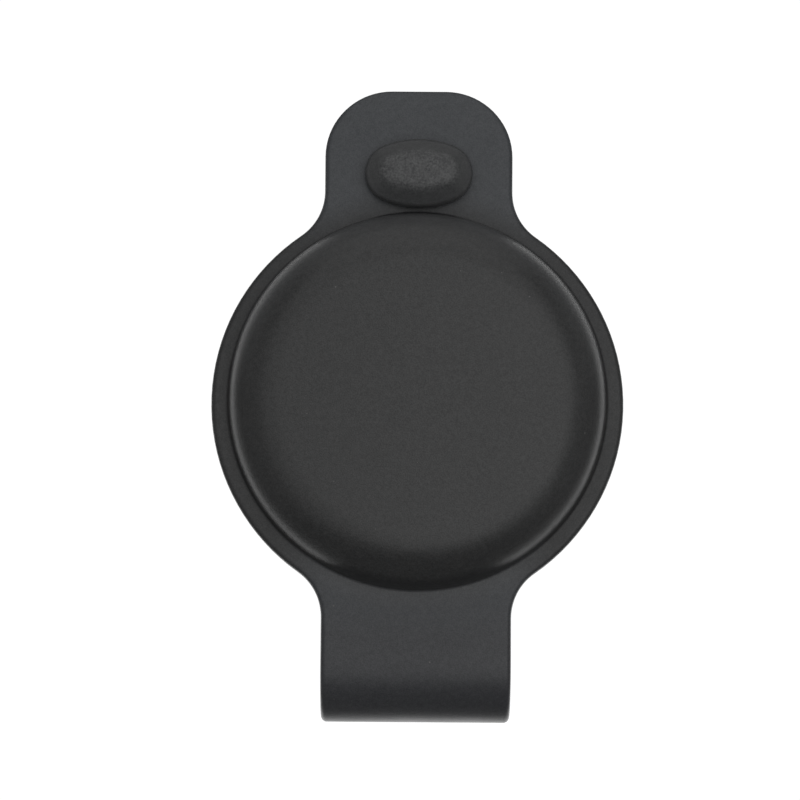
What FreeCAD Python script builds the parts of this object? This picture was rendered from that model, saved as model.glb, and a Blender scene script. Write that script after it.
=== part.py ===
import FreeCAD, Part
import math
import os
import re
import Sketcher

# Tracker tag holder: a moulded silicone holder and the round tag that it carries.
# Millimetres and degrees. X is across, Y runs up the holder and Z comes out of the dome.
# The origin lies on the tag's axis, in the strap's outer face.

SIZES = {
    # silicone sheet and its two tabs
    "sheet_thickness": 2.0,
    "sheet_edge_radius": 0.5,
    "flange_margin": 1.59,
    "flange_set": 0.45,
    "top_tab_width": 18.0,
    "top_tab_run": 3.43,
    "top_corner_radius": 6.4,
    "top_neck_radius": 5.25,
    "bottom_tab_width": 18.0,
    "bottom_tab_run": 4.06,
    "bottom_neck_radius": 5.25,
    # pod round the tag
    "pod_side_wall": 2.0,
    "pod_front_wall": 1.2,
    "dome_edge_radius": 6.4,
    "lip_wall": 1.2,
    "lip_set": 0.6,
    "tag_clearance": 0.1,
    "sheet_rise": 0.2,
    # rear strap
    "loop_depth": 5.7,
    "ramp_angle": 70,
    "ramp_clearance": 0.4,
    "eject_travel": 4.8,
    "lower_bend_radius": 3.0,
    "upper_bend_radius": 2.0,
    "strap_gap": 0.3,
    "strap_end_inset": 0.6,
    "strap_side_inset": 0.42,
    "strap_corner_radius": 5.8,
    # closure button
    "button_gap": 0.1,
    "head_length": 10.3,
    "head_width": 6.6,
    "head_end_radius": 2.85,
    "head_rise": 2.5,
    "head_round": 1.9,
    "head_clearance": 0.25,
    "neck_length": 6.0,
    "neck_width": 2.8,
    "neck_clearance": 0.25,
    # tag case
    "shell_wall": 0.9,
    "seam_step": 0.45,
    "tag_back_radius": 3.2,
    "tag_band": 0.3,
    "rim_land": 0.25,
    "base_floor": 0.5,
    # battery cover and its bayonet
    "cover_thickness": 0.5,
    "cover_edge_radius": 0.2,
    "cover_clearance": 0.1,
    "skirt_wall": 0.75,
    "skirt_depth": 1.9,
    "liner_flange": 0.35,
    "lug_reach": 0.5,
    "lug_height": 0.6,
    "lug_inset": 0.2,
    "lug_angle": 26,
    "lug_count": 3,
    "twist_angle": 22,
    "twist_margin": 3,
    "seal_width": 0.6,
    "seal_thickness": 0.4,
    "pad_radius": 7.0,
    "pad_thickness": 0.35,
    "pad_gap": 0.05,
    # coin cell, whose can and cap are pressed from one gauge of steel
    "cell_radius": 10.0,
    "cell_height": 3.2,
    "cell_clearance": 0.45,
    "cell_gap": 0.05,
    "can_wall": 0.25,
    "can_drop": 0.35,
    "gasket_wall": 0.9,
    # circuit board and what stands on it
    "board_inset": 0.7,
    "board_thickness": 0.6,
    "part_space": 1.55,
    "shield_length": 8.0,
    "shield_width": 7.0,
    "shield_height": 1.2,
    "shield_gauge": 0.15,
    "shield_room": 2.0,
    "radio_side": 5.0,
    "radio_height": 0.8,
    "sensor_length": 2.5,
    "sensor_width": 2.0,
    "sensor_height": 0.8,
    "sensor_room": 3.3,
    "crystal_length": 2.0,
    "crystal_width": 1.6,
    "crystal_height": 0.5,
    "crystal_gap": 1.7,
    "capacitor_length": 1.0,
    "capacitor_width": 0.5,
    "capacitor_gap": 0.5,
    "capacitor_room": 0.75,
    "antenna_inset": 0.6,
    "antenna_width": 0.7,
    "antenna_height": 0.35,
    "antenna_arc": 300,
    # contacts and sounder
    "contact_gauge": 0.15,
    "contact_length": 3.6,
    "contact_width": 2.0,
    "contact_room": 0.4,
    "side_contact_gap": 0.05,
    "side_contact_drop": 1.4,
    "plate_radius": 7.5,
    "plate_thickness": 0.15,
    "ceramic_radius": 5.5,
    "ceramic_thickness": 0.15,
    "barrel_radius": 0.5,
    "barrel_height": 1.05,
    "plunger_radius": 0.3,
    # every cut runs on by this much
    "overrun": 1.0,
}

# Sizes worked out from the ones above, from the coin cell outwards.
WORKED = {
    # radii of the tag
    "skirt_inner": "cell_radius + cell_clearance",
    "skirt_outer": "skirt_inner + skirt_wall",
    "bore_radius": "skirt_outer + cover_clearance",
    "lug_tip": "skirt_outer + lug_reach",
    "groove_radius": "lug_tip + cover_clearance",
    "cover_radius": "groove_radius + seal_width",
    "recess_radius": "cover_radius + cover_clearance",
    "back_flat": "recess_radius + rim_land",
    "tag_radius": "back_flat + tag_back_radius",
    "tongue_radius": "tag_radius - shell_wall - seam_step",
    "board_radius": "tongue_radius - board_inset",
    "antenna_radius": "board_radius - antenna_inset",
    "cap_radius": "cell_radius - can_wall - gasket_wall",
    # heights through the tag, from its back to its front
    "tag_back": "sheet_thickness + loop_depth",
    "cover_inner": "tag_back + cover_thickness",
    "ledge_level": "cover_inner + seal_thickness + cover_clearance",
    "skirt_end": "cover_inner + skirt_depth",
    "skirt_seat": "skirt_end + cover_clearance",
    "lug_front": "skirt_end - lug_inset",
    "lug_back": "lug_front - lug_height",
    "cell_back": "cover_inner + pad_thickness + pad_gap",
    "cell_front": "cell_back + cell_height",
    "can_floor": "cell_back + can_wall",
    "can_front": "cell_front - can_drop",
    "cap_floor": "cell_front - can_wall",
    "floor_back": "cell_front + cell_gap",
    "board_back": "floor_back + base_floor",
    "board_front": "board_back + board_thickness",
    "ceramic_back": "board_front + part_space",
    "plate_back": "ceramic_back + ceramic_thickness",
    "shell_inside": "plate_back + plate_thickness",
    "tag_front": "shell_inside + shell_wall",
    "band_level": "tag_back + tag_back_radius",
    "seam_level": "band_level + tag_band",
    "tag_front_radius": "tag_front - seam_level",
    "front_flat": "tag_radius - tag_front_radius",
    # pod and sheet
    "bore_wall": "tag_radius + tag_clearance",
    "cavity_top": "tag_front + tag_clearance",
    "dome_top": "cavity_top + pod_front_wall",
    "sheet_front": "seam_level + sheet_rise",
    "sheet_back": "sheet_front - sheet_thickness",
    "pod_radius": "bore_wall + pod_side_wall",
    "dome_drop": "dome_edge_radius - (dome_top - sheet_front)",
    "dome_flat": "pod_radius - sqrt(dome_edge_radius ^ 2 - dome_drop ^ 2)",
    "flange_radius": "pod_radius + flange_margin",
    "lip_inner": "tag_back_radius + tag_clearance",
    "lip_outer": "lip_inner + lip_wall",
    "lip_mouth": "back_flat + lip_set",
    "lip_rise": "band_level - sheet_back",
    # tabs: each neck is an arc tangent to the tab's side and to the flange, whose middle is below the pod's
    "top_half": "top_tab_width / 2",
    "top_neck_x": "top_half + top_neck_radius",
    "top_neck_y": "sqrt((flange_radius + top_neck_radius) ^ 2 - top_neck_x ^ 2) - flange_set",
    "top_neck_part": "flange_radius / (flange_radius + top_neck_radius)",
    "top_touch_y": "(top_neck_y + flange_set) * top_neck_part - flange_set",
    "top_side": "top_neck_y + top_tab_run",
    "top_reach": "top_side + top_corner_radius",
    "bottom_half": "bottom_tab_width / 2",
    "bottom_neck_x": "bottom_half + bottom_neck_radius",
    "bottom_neck_y": "sqrt((flange_radius + bottom_neck_radius) ^ 2 - bottom_neck_x ^ 2) + flange_set",
    "bottom_neck_part": "flange_radius / (flange_radius + bottom_neck_radius)",
    "bottom_touch_y": "(bottom_neck_y - flange_set) * bottom_neck_part + flange_set",
    "fold_start": "bottom_neck_y + bottom_tab_run",
    "fold_outer": "sheet_front / 2",
    "fold_inner": "fold_outer - sheet_thickness",
    # strap: its ramp clears the tag when that is pushed out, and so the lip of the pod too
    "pad_front": "sheet_back - strap_gap",
    "pad_back": "pad_front - sheet_thickness",
    "ramp_sine": "sin(ramp_angle * 1deg)",
    "ramp_cosine": "cos(ramp_angle * 1deg)",
    "ramp_half": "tan(ramp_angle / 2 * 1deg)",
    "ramp_room": "tag_back_radius + ramp_clearance + eject_travel * ramp_cosine",
    "ramp_foot": "back_flat + (ramp_room + (sheet_thickness - band_level) * ramp_cosine) / ramp_sine",
    "ramp_head": "back_flat + (ramp_room + (pad_front - band_level) * ramp_cosine) / ramp_sine",
    "heel_room": "ramp_room + sheet_thickness",
    "heel_foot": "back_flat + (heel_room - band_level * ramp_cosine) / ramp_sine",
    "heel_head": "back_flat + (heel_room + (pad_back - band_level) * ramp_cosine) / ramp_sine",
    "lower_outside": "lower_bend_radius + sheet_thickness",
    "upper_outside": "upper_bend_radius + sheet_thickness",
    "lower_touch": "lower_bend_radius * ramp_half",
    "lower_outside_touch": "lower_outside * ramp_half",
    "upper_touch": "upper_bend_radius * ramp_half",
    "upper_outside_touch": "upper_outside * ramp_half",
    "pad_start": "ramp_head + upper_outside_touch",
    "strap_end": "top_reach - strap_end_inset",
    "strap_half": "top_half - strap_side_inset",
    "strap_side": "strap_end - strap_corner_radius",
    # button: an oval of four tangent arcs on a straight-sided neck
    "button_y": "pod_radius + button_gap + head_width / 2",
    "head_base": "sheet_front + head_clearance",
    "end_centre": "head_length / 2 - head_end_radius",
    "side_spare": "head_width / 2 - head_end_radius",
    "side_radius": "(end_centre ^ 2 + (head_width / 2) ^ 2 - head_end_radius ^ 2) / (2 * side_spare)",
    "oval_x": "end_centre * side_radius / (side_radius - head_end_radius)",
    "oval_y": "head_end_radius * (side_radius - head_width / 2) / (side_radius - head_end_radius)",
    "neck_radius": "neck_width / 2",
    "neck_straight": "neck_length / 2 - neck_radius",
    "slot_radius": "neck_radius + neck_clearance",
    # leaf contacts
    "leaf_foot_level": "board_back - contact_gauge",
    "leaf_tip_level": "cell_front + contact_gauge",
    "window_length": "contact_length + 2 * contact_room",
    "window_width": "contact_width + 2 * contact_room",
    "side_contact_inner": "cell_radius + side_contact_gap",
    "side_contact_outer": "side_contact_inner + contact_gauge",
    "side_contact_low": "floor_back - side_contact_drop",
    # board layout: the outer corner of each group keeps its room from the antenna
    "antenna_inner": "antenna_radius - antenna_width",
    "shield_corner": "antenna_inner - shield_room",
    "shield_middle": "shield_length / 2 - sqrt(shield_corner ^ 2 - (shield_width / 2) ^ 2)",
    "crystal_y": "shield_width / 2 + crystal_gap",
    "sensor_x": "sensor_length",
    "sensor_corner": "antenna_inner - sensor_room",
    "sensor_y": "sensor_width / 2 - sqrt(sensor_corner ^ 2 - (sensor_x + sensor_length / 2) ^ 2)",
    "capacitor_step": "capacitor_length + capacitor_gap",
    "capacitor_row": "2 * capacitor_step + capacitor_width / 2",
    "capacitor_corner": "antenna_inner - capacitor_room",
    "capacitor_x": "sqrt(capacitor_corner ^ 2 - capacitor_row ^ 2) - capacitor_length / 2",
    "ceramic_pin": "ceramic_radius / 2",
    "plate_pin": "(ceramic_radius + plate_radius) / 2",
}

# where along the leaf contact its foot ends and its tip starts
LEAF_SHARES = (0.35, 0.7)
# a face counts as facing a way when its normal has at least this much of that way
FACING_SHARE = 0.5

doc = FreeCAD.newDocument("tracker_tag_holder")
sheet = doc.addObject("Spreadsheet::Sheet", "Sizes")
for row, (alias, amount) in enumerate(list(SIZES.items()) + list(WORKED.items()), start=1):
    sheet.set("A%d" % row, alias)
    sheet.set("B%d" % row, str(amount) if alias in SIZES else "=" + amount)
    sheet.setAlias("B%d" % row, alias)
doc.recompute()


def cells(text):
    def named(word):
        known = word.group() in SIZES or word.group() in WORKED
        return "Sizes." + word.group() if known else word.group()
    return re.sub(r"[a-z]\w*", named, text)


def number(text):
    return float(sheet.evalExpression(cells(text)))


def bind(item, prop, text):
    item.setExpression(prop, cells(text))


def fix(sketch, constraint, text):
    index = sketch.addConstraint(constraint)
    sketch.renameConstraint(index, "size%d" % index)
    bind(sketch, "Constraints.size%d" % index, text)


# An arc of less than half a circle, with its centre on the left of the way from start to end.
def arc_between(start, end, radius):
    chord = end - start
    left = FreeCAD.Vector(-chord.y, chord.x, 0)
    left.normalize()
    rise = math.sqrt(max(radius ** 2 - chord.Length ** 2 / 4, 0))
    centre = start + chord / 2 + left * rise
    first = math.atan2(start.y - centre.y, start.x - centre.x)
    last = math.atan2(end.y - centre.y, end.x - centre.x)
    return Part.ArcOfCircle(Part.Circle(centre, FreeCAD.Vector(0, 0, 1), radius), first, last)


# A closed outline. Each corner is its two coordinates and, where an arc leaves it, a radius and a turn.
def add_loop(sketch, corners):
    first = sketch.GeometryCount
    points = [FreeCAD.Vector(number(corner[0]), number(corner[1]), 0) for corner in corners]
    tips = []
    for place, corner in enumerate(corners):
        start = points[place]
        end = points[(place + 1) % len(points)]
        if len(corner) == 2:
            sketch.addGeometry(Part.LineSegment(start, end), False)
            tips.append((1, 2))
        elif corner[3] == "left":
            sketch.addGeometry(arc_between(start, end, number(corner[2])), False)
            tips.append((1, 2))
        else:
            sketch.addGeometry(arc_between(end, start, number(corner[2])), False)
            tips.append((2, 1))
    for place, corner in enumerate(corners):
        here = first + place
        before = first + (place - 1) % len(corners)
        tip = tips[place][0]
        sketch.addConstraint(Sketcher.Constraint("Coincident", before, tips[place - 1][1], here, tip))
        fix(sketch, Sketcher.Constraint("DistanceX", -1, 1, here, tip, points[place].x), corner[0])
        fix(sketch, Sketcher.Constraint("DistanceY", -1, 1, here, tip, points[place].y), corner[1])
        if len(corner) > 2:
            fix(sketch, Sketcher.Constraint("Radius", here, number(corner[2])), corner[2])


def draw(body, plane, loops, level="0"):
    sketch = body.newObject("Sketcher::SketchObject", "outline")
    sketch.AttachmentSupport = [(item, "") for item in body.Origin.OriginFeatures if item.Role == plane]
    sketch.MapMode = "FlatFace"
    bind(sketch, ".AttachmentOffset.Base.z", level)
    for loop in loops:
        add_loop(sketch, loop)
    return sketch


def new_body(label):
    body = doc.addObject("PartDesign::Body", label)
    body.Label = label
    return body


def pad(body, sketch, length, both_ways=False):
    feature = body.newObject("PartDesign::Pad", "pad")
    feature.Profile = sketch
    bind(feature, "Length", length)
    if both_ways:
        feature.SideType = "Symmetric"
    return feature


def pocket(body, sketch):
    feature = body.newObject("PartDesign::Pocket", "pocket")
    feature.Profile = sketch
    feature.Type = "ThroughAll"
    feature.SideType = "Symmetric"
    return feature


def turn(body, sketch, kind="PartDesign::Revolution", sweep="360"):
    feature = body.newObject(kind, "turned")
    feature.Profile = sketch
    feature.ReferenceAxis = (sketch, ["V_Axis"])
    feature.Midplane = True
    bind(feature, "Angle", sweep)
    return feature


def repeat_round(body, feature, count):
    pattern = body.newObject("PartDesign::PolarPattern", "repeat")
    pattern.Originals = [feature]
    pattern.Axis = ([item for item in body.Origin.OriginFeatures if item.Role == "Z_Axis"][0], [""])
    bind(pattern, "Occurrences", count)
    body.Tip = pattern
    return pattern


def facing(face):
    low_u, high_u, low_v, high_v = face.ParameterRange
    return face.normalAt((low_u + high_u) / 2, (low_v + high_v) / 2)


def round_edges(body, base, first, second, radius):
    doc.recompute()
    names = []
    for index, edge in enumerate(base.Shape.Edges, start=1):
        sides = base.Shape.ancestorsOfType(edge, Part.Face)
        if any(first(facing(side), side.CenterOfMass) for side in sides):
            if any(second(facing(side), side.CenterOfMass) for side in sides):
                names.append("Edge%d" % index)
    feature = body.newObject("PartDesign::Fillet", "rounding")
    feature.Base = (base, names)
    bind(feature, "Radius", radius)
    return feature


def rectangle(low_x, low_y, high_x, high_y):
    return [(low_x, low_y), (high_x, low_y), (high_x, high_y), (low_x, high_y)]


# A straight-sided slot outline with round ends, lying along X about the button's place.
def slot(straight, radius):
    low = "button_y - (%s)" % radius
    high = "button_y + (%s)" % radius
    tip = "(%s) + (%s)" % (straight, radius)
    return [
        ("-(%s)" % straight, low),
        (straight, low, radius, "left"),
        (tip, "button_y", radius, "left"),
        (straight, high),
        ("-(%s)" % straight, high, radius, "left"),
        ("-(%s)" % tip, "button_y", radius, "left"),
    ]


def block(label, length, width, height, x, y, z):
    box = doc.addObject("Part::Box", label)
    box.Label = label
    bind(box, "Length", length)
    bind(box, "Width", width)
    bind(box, "Height", height)
    bind(box, ".Placement.Base.x", "%s - (%s) / 2" % (x, length))
    bind(box, ".Placement.Base.y", "%s - (%s) / 2" % (y, width))
    bind(box, ".Placement.Base.z", z)
    return box


def disc(label, radius, height, z, x="0"):
    round_bar = doc.addObject("Part::Cylinder", label)
    round_bar.Label = label
    bind(round_bar, "Radius", radius)
    bind(round_bar, "Height", height)
    bind(round_bar, ".Placement.Base.x", x)
    bind(round_bar, ".Placement.Base.z", z)
    return round_bar


def cut(label, base, tool):
    result = doc.addObject("Part::Cut", label)
    result.Label = label
    result.Base = base
    result.Tool = tool
    return result


def join(kind, label, items):
    result = doc.addObject(kind, label)
    result.Label = label
    if kind == "Part::Compound":
        result.Links = items
    else:
        result.Shapes = items
    return result


# Holder
front_cover = new_body("front_cover")
outline = [
    ("-bottom_half", "-fold_start"),
    ("bottom_half", "-fold_start"),
    ("bottom_half", "-bottom_neck_y", "bottom_neck_radius", "right"),
    ("bottom_neck_x * bottom_neck_part", "-bottom_touch_y", "flange_radius", "left"),
    ("top_neck_x * top_neck_part", "top_touch_y", "top_neck_radius", "right"),
    ("top_half", "top_neck_y"),
    ("top_half", "top_side", "top_corner_radius", "left"),
    ("top_half - top_corner_radius", "top_reach"),
    ("-(top_half - top_corner_radius)", "top_reach", "top_corner_radius", "left"),
    ("-top_half", "top_side"),
    ("-top_half", "top_neck_y", "top_neck_radius", "right"),
    ("-top_neck_x * top_neck_part", "top_touch_y", "flange_radius", "left"),
    ("-bottom_neck_x * bottom_neck_part", "-bottom_touch_y", "bottom_neck_radius", "right"),
    ("-bottom_half", "-bottom_neck_y"),
]
sheet_pad = pad(front_cover, draw(front_cover, "XY_Plane", [outline], "sheet_back"), "sheet_thickness")
joint_face = number("fold_start - sheet_edge_radius")
round_edges(
    front_cover, sheet_pad,
    lambda way, middle: way.z > FACING_SHARE,
    lambda way, middle: abs(way.z) < FACING_SHARE and middle.y > -joint_face,
    "sheet_edge_radius",
)
dome = [
    ("0", "sheet_back"),
    ("pod_radius", "sheet_back"),
    ("pod_radius", "sheet_front", "dome_edge_radius", "left"),
    ("dome_flat", "dome_top"),
    ("0", "dome_top"),
]
turn(front_cover, draw(front_cover, "XZ_Plane", [dome]))
cavity = [
    ("0", "sheet_back - overrun"),
    ("bore_wall", "sheet_back - overrun"),
    ("bore_wall", "seam_level", "tag_front_radius + tag_clearance", "left"),
    ("front_flat", "cavity_top"),
    ("0", "cavity_top"),
]
turn(front_cover, draw(front_cover, "XZ_Plane", [cavity]), "PartDesign::Groove")
pocket(front_cover, draw(front_cover, "XY_Plane", [slot("neck_straight", "slot_radius")]))

# The ring of silicone behind the sheet that stretches when the tag is pushed out.
retaining_lip = new_body("retaining_lip")
lip = [
    ("back_flat + sqrt(lip_inner ^ 2 - lip_rise ^ 2)", "sheet_back", "lip_inner", "right"),
    ("lip_mouth", "band_level - sqrt(lip_inner ^ 2 - lip_set ^ 2)"),
    ("lip_mouth", "band_level - sqrt(lip_outer ^ 2 - lip_set ^ 2)", "lip_outer", "left"),
    ("back_flat + sqrt(lip_outer ^ 2 - lip_rise ^ 2)", "sheet_back"),
]
turn(retaining_lip, draw(retaining_lip, "XZ_Plane", [lip]))

# The bend that carries the sheet round to the rear strap.
bottom_fold = new_body("bottom_fold")
bend = [
    ("-fold_start", "0"),
    ("-fold_start", "sheet_thickness", "fold_inner", "right"),
    ("-fold_start - fold_inner", "fold_outer", "fold_inner", "right"),
    ("-fold_start", "sheet_back"),
    ("-fold_start", "sheet_front", "fold_outer", "left"),
    ("-fold_start - fold_outer", "fold_outer", "fold_outer", "left"),
]
bend_pad = pad(bottom_fold, draw(bottom_fold, "YZ_Plane", [bend]), "bottom_tab_width", True)
round_edges(
    bottom_fold, bend_pad,
    lambda way, middle: way.y < -FACING_SHARE,
    lambda way, middle: abs(way.x) > FACING_SHARE,
    "sheet_edge_radius",
)

rear_strap = new_body("rear_strap")
side_view = [
    ("-fold_start", "0"),
    ("heel_foot - lower_outside_touch", "0", "lower_outside", "left"),
    ("heel_foot + lower_outside_touch * ramp_cosine", "lower_outside_touch * ramp_sine"),
    ("heel_head - upper_touch * ramp_cosine", "pad_back - upper_touch * ramp_sine",
     "upper_bend_radius", "right"),
    ("heel_head + upper_touch", "pad_back"),
    ("strap_end", "pad_back"),
    ("strap_end", "pad_front"),
    ("pad_start", "pad_front", "upper_outside", "left"),
    ("ramp_head - upper_outside_touch * ramp_cosine", "pad_front - upper_outside_touch * ramp_sine"),
    ("ramp_foot + lower_touch * ramp_cosine", "sheet_thickness + lower_touch * ramp_sine",
     "lower_bend_radius", "right"),
    ("ramp_foot - lower_touch", "sheet_thickness"),
    ("-fold_start", "sheet_thickness"),
]
pad(rear_strap, draw(rear_strap, "YZ_Plane", [side_view]), "bottom_tab_width", True)
trim = [
    ("bottom_half", "-fold_start"),
    ("bottom_half + overrun", "-fold_start"),
    ("bottom_half + overrun", "strap_end + overrun"),
    ("strap_half - strap_corner_radius", "strap_end + overrun"),
    ("strap_half - strap_corner_radius", "strap_end", "strap_corner_radius", "right"),
    ("strap_half", "strap_side"),
    ("strap_half", "pad_start"),
]
trim_left = [
    ("-bottom_half", "-fold_start"),
    ("-strap_half", "pad_start"),
    ("-strap_half", "strap_side", "strap_corner_radius", "right"),
    ("-(strap_half - strap_corner_radius)", "strap_end"),
    ("-(strap_half - strap_corner_radius)", "strap_end + overrun"),
    ("-bottom_half - overrun", "strap_end + overrun"),
    ("-bottom_half - overrun", "-fold_start"),
]
trimmed = pocket(rear_strap, draw(rear_strap, "XY_Plane", [trim, trim_left]))
round_edges(
    rear_strap, trimmed,
    lambda way, middle: way.z < -FACING_SHARE,
    lambda way, middle: abs(way.z) < FACING_SHARE and way.y > -FACING_SHARE,
    "sheet_edge_radius",
)

closure_button = new_body("closure_button")
neck_sketch = draw(closure_button, "XY_Plane", [slot("neck_straight", "neck_radius")], "pad_front")
pad(closure_button, neck_sketch, "head_base - pad_front")
oval = [
    ("oval_x", "button_y - oval_y", "head_end_radius", "left"),
    ("oval_x", "button_y + oval_y", "side_radius", "left"),
    ("-oval_x", "button_y + oval_y", "head_end_radius", "left"),
    ("-oval_x", "button_y - oval_y", "side_radius", "left"),
]
head_pad = pad(closure_button, draw(closure_button, "XY_Plane", [oval], "head_base"), "head_rise")
doc.recompute()
top_level = number("head_base + head_rise / 2")
round_edges(
    closure_button, head_pad,
    lambda way, middle: way.z > FACING_SHARE and middle.z > top_level,
    lambda way, middle: abs(way.z) < FACING_SHARE,
    "head_round",
)

# Tag case
tag_shell = new_body("tag_shell")
shell = [
    ("tag_radius - shell_wall", "seam_level"),
    ("tag_radius", "seam_level", "tag_front_radius", "left"),
    ("front_flat", "tag_front"),
    ("0", "tag_front"),
    ("0", "shell_inside"),
    ("front_flat", "shell_inside", "tag_front_radius - shell_wall", "right"),
]
turn(tag_shell, draw(tag_shell, "XZ_Plane", [shell]))

base_body = new_body("base_turned")
base = [
    ("0", "floor_back"),
    ("skirt_inner", "floor_back"),
    ("skirt_inner", "skirt_seat"),
    ("bore_radius", "skirt_seat"),
    ("bore_radius", "ledge_level"),
    ("recess_radius", "ledge_level"),
    ("recess_radius", "tag_back"),
    ("back_flat", "tag_back", "tag_back_radius", "left"),
    ("tag_radius", "band_level"),
    ("tag_radius", "seam_level"),
    ("tongue_radius", "seam_level"),
    ("tongue_radius", "board_back"),
    ("0", "board_back"),
]
turn(base_body, draw(base_body, "XZ_Plane", [base]))


# A bayonet cut in the base, turned back from the lug's locked place by part of the twist.
def bayonet_cut(low, high, back_turn, sweep):
    section = rectangle("skirt_inner", low, "groove_radius", high)
    sketch = draw(base_body, "XZ_Plane", [section])
    sketch.AttachmentOffset = FreeCAD.Placement(
        FreeCAD.Vector(0, 0, 0), FreeCAD.Rotation(FreeCAD.Vector(0, -1, 0), number(back_turn)))
    bind(sketch, ".AttachmentOffset.Rotation.Angle", back_turn)
    repeat_round(base_body, turn(base_body, sketch, "PartDesign::Groove", sweep), "lug_count")


bayonet_cut("lug_back - cover_clearance", "lug_front + cover_clearance", "twist_angle / 2",
            "lug_angle + twist_angle + 2 * twist_margin")
bayonet_cut("cover_inner + seal_thickness", "lug_front", "twist_angle", "lug_angle + 2 * twist_margin")

window = block("contact_window", "window_length", "window_width", "base_floor + 2 * overrun",
               "0", "0", "floor_back - overrun")
side_windows = [
    block("side_window", "window_width", "side_contact_outer - cell_radius + contact_room",
          "base_floor + 2 * overrun", "0", "%s * (cell_radius + side_contact_outer) / 2" % side,
          "floor_back - overrun")
    for side in ("1", "-1")
]
tag_base = cut("tag_base", base_body, join("Part::MultiFuse", "windows", [window] + side_windows))

# Battery cover
battery_cover = new_body("battery_cover")
plate = [
    ("0", "tag_back"),
    ("cover_radius - cover_edge_radius", "tag_back", "cover_edge_radius", "left"),
    ("cover_radius", "tag_back + cover_edge_radius"),
    ("cover_radius", "cover_inner"),
    ("0", "cover_inner"),
]
turn(battery_cover, draw(battery_cover, "XZ_Plane", [plate]))

cover_liner = new_body("cover_liner")
liner = [
    ("skirt_inner", "cover_inner"),
    ("lug_tip", "cover_inner"),
    ("lug_tip", "cover_inner + liner_flange"),
    ("skirt_outer", "cover_inner + liner_flange"),
    ("skirt_outer", "skirt_end"),
    ("skirt_inner", "skirt_end"),
]
turn(cover_liner, draw(cover_liner, "XZ_Plane", [liner]))
lug_section = rectangle("skirt_outer - skirt_wall / 2", "lug_back", "lug_tip", "lug_front")
lug = turn(cover_liner, draw(cover_liner, "XZ_Plane", [lug_section]), sweep="lug_angle")
repeat_round(cover_liner, lug, "lug_count")

cover_seal = cut(
    "cover_seal", disc("seal_outside", "cover_radius", "seal_thickness", "cover_inner"),
    disc("seal_inside", "groove_radius", "seal_thickness", "cover_inner"))
cover_pad = disc("cover_pad", "pad_radius", "pad_thickness", "cover_inner")

# Coin cell: a can and a cap round its electrodes, with an insulating ring between them
cell_can = cut(
    "cell_can", disc("can_outside", "cell_radius", "can_front - cell_back", "cell_back"),
    disc("can_inside", "cell_radius - can_wall", "can_front - cell_back", "can_floor"))
cell_gasket = cut(
    "cell_gasket", disc("gasket_outside", "cell_radius - can_wall", "can_front - can_floor", "can_floor"),
    disc("gasket_inside", "cap_radius", "can_front - can_floor", "can_floor"))
cell_cap = cut(
    "cell_cap", disc("cap_outside", "cap_radius", "cell_front - can_floor", "can_floor"),
    disc("cap_inside", "cap_radius - can_wall", "cap_floor - can_floor", "can_floor"))
cell_core = disc("cell_core", "cap_radius - can_wall", "cap_floor - can_floor", "can_floor")

# Circuit board
circuit_board = disc("circuit_board", "board_radius", "board_thickness", "board_back")
radio_shield = cut(
    "radio_shield",
    block("shield_outside", "shield_length", "shield_width", "shield_height", "shield_middle", "0", "board_front"),
    block("shield_inside", "shield_length - 2 * shield_gauge", "shield_width - 2 * shield_gauge",
          "shield_height", "shield_middle", "0", "board_front - shield_gauge"))
radio_chip = block("radio_chip", "radio_side", "radio_side", "radio_height", "shield_middle", "0", "board_front")
sensor_chip = block("sensor_chip", "sensor_length", "sensor_width", "sensor_height",
                    "sensor_x", "sensor_y", "board_front")
board_crystal = block("board_crystal", "crystal_length", "crystal_width", "crystal_height",
                      "shield_middle", "crystal_y", "board_front")
capacitor_rows = [
    block("capacitor", "capacitor_length", "capacitor_width", "capacitor_width",
          "capacitor_x - %d * capacitor_step" % column, "%d * capacitor_step" % step, "board_front")
    for column in (0, 1)
    for step in (-2, -1, 0, 1, 2)
]
board_capacitors = join("Part::Compound", "board_capacitors", capacitor_rows)

antenna_loop = new_body("antenna_loop")
ring = rectangle("antenna_inner", "board_front", "antenna_radius", "board_front + antenna_height")
turn(antenna_loop, draw(antenna_loop, "XZ_Plane", [ring]), sweep="antenna_arc")

# Contacts
centre_contact = new_body("centre_contact")
foot_end = "contact_length * %s - contact_length / 2" % LEAF_SHARES[0]
tip_start = "contact_length * %s - contact_length / 2" % LEAF_SHARES[1]
leaf = [
    ("-contact_length / 2", "leaf_foot_level"),
    (foot_end, "leaf_foot_level"),
    (tip_start, "cell_front"),
    ("contact_length / 2", "cell_front"),
    ("contact_length / 2", "leaf_tip_level"),
    (tip_start, "leaf_tip_level"),
    (foot_end, "board_back"),
    ("-contact_length / 2", "board_back"),
]
pad(centre_contact, draw(centre_contact, "XZ_Plane", [leaf]), "contact_width", True)

side_contacts = join("Part::Compound", "side_contacts", [
    block("side_contact", "contact_width", "contact_gauge", "board_back - side_contact_low",
          "0", "%s * (side_contact_inner + contact_gauge / 2)" % side, "side_contact_low")
    for side in ("1", "-1")
])

# Sounder
sounder_plate = disc("sounder_plate", "plate_radius", "plate_thickness", "plate_back")
sounder_ceramic = disc("sounder_ceramic", "ceramic_radius", "ceramic_thickness", "ceramic_back")
sounder_pins = join("Part::Compound", "sounder_pins", [
    join("Part::MultiFuse", "spring_pin", [
        disc("barrel", "barrel_radius", "barrel_height", "board_front", place),
        disc("plunger", "plunger_radius", "%s - board_front" % reach, "board_front", place),
    ])
    for place, reach in (("ceramic_pin", "ceramic_back"), ("plate_pin", "plate_back"))
])

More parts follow.
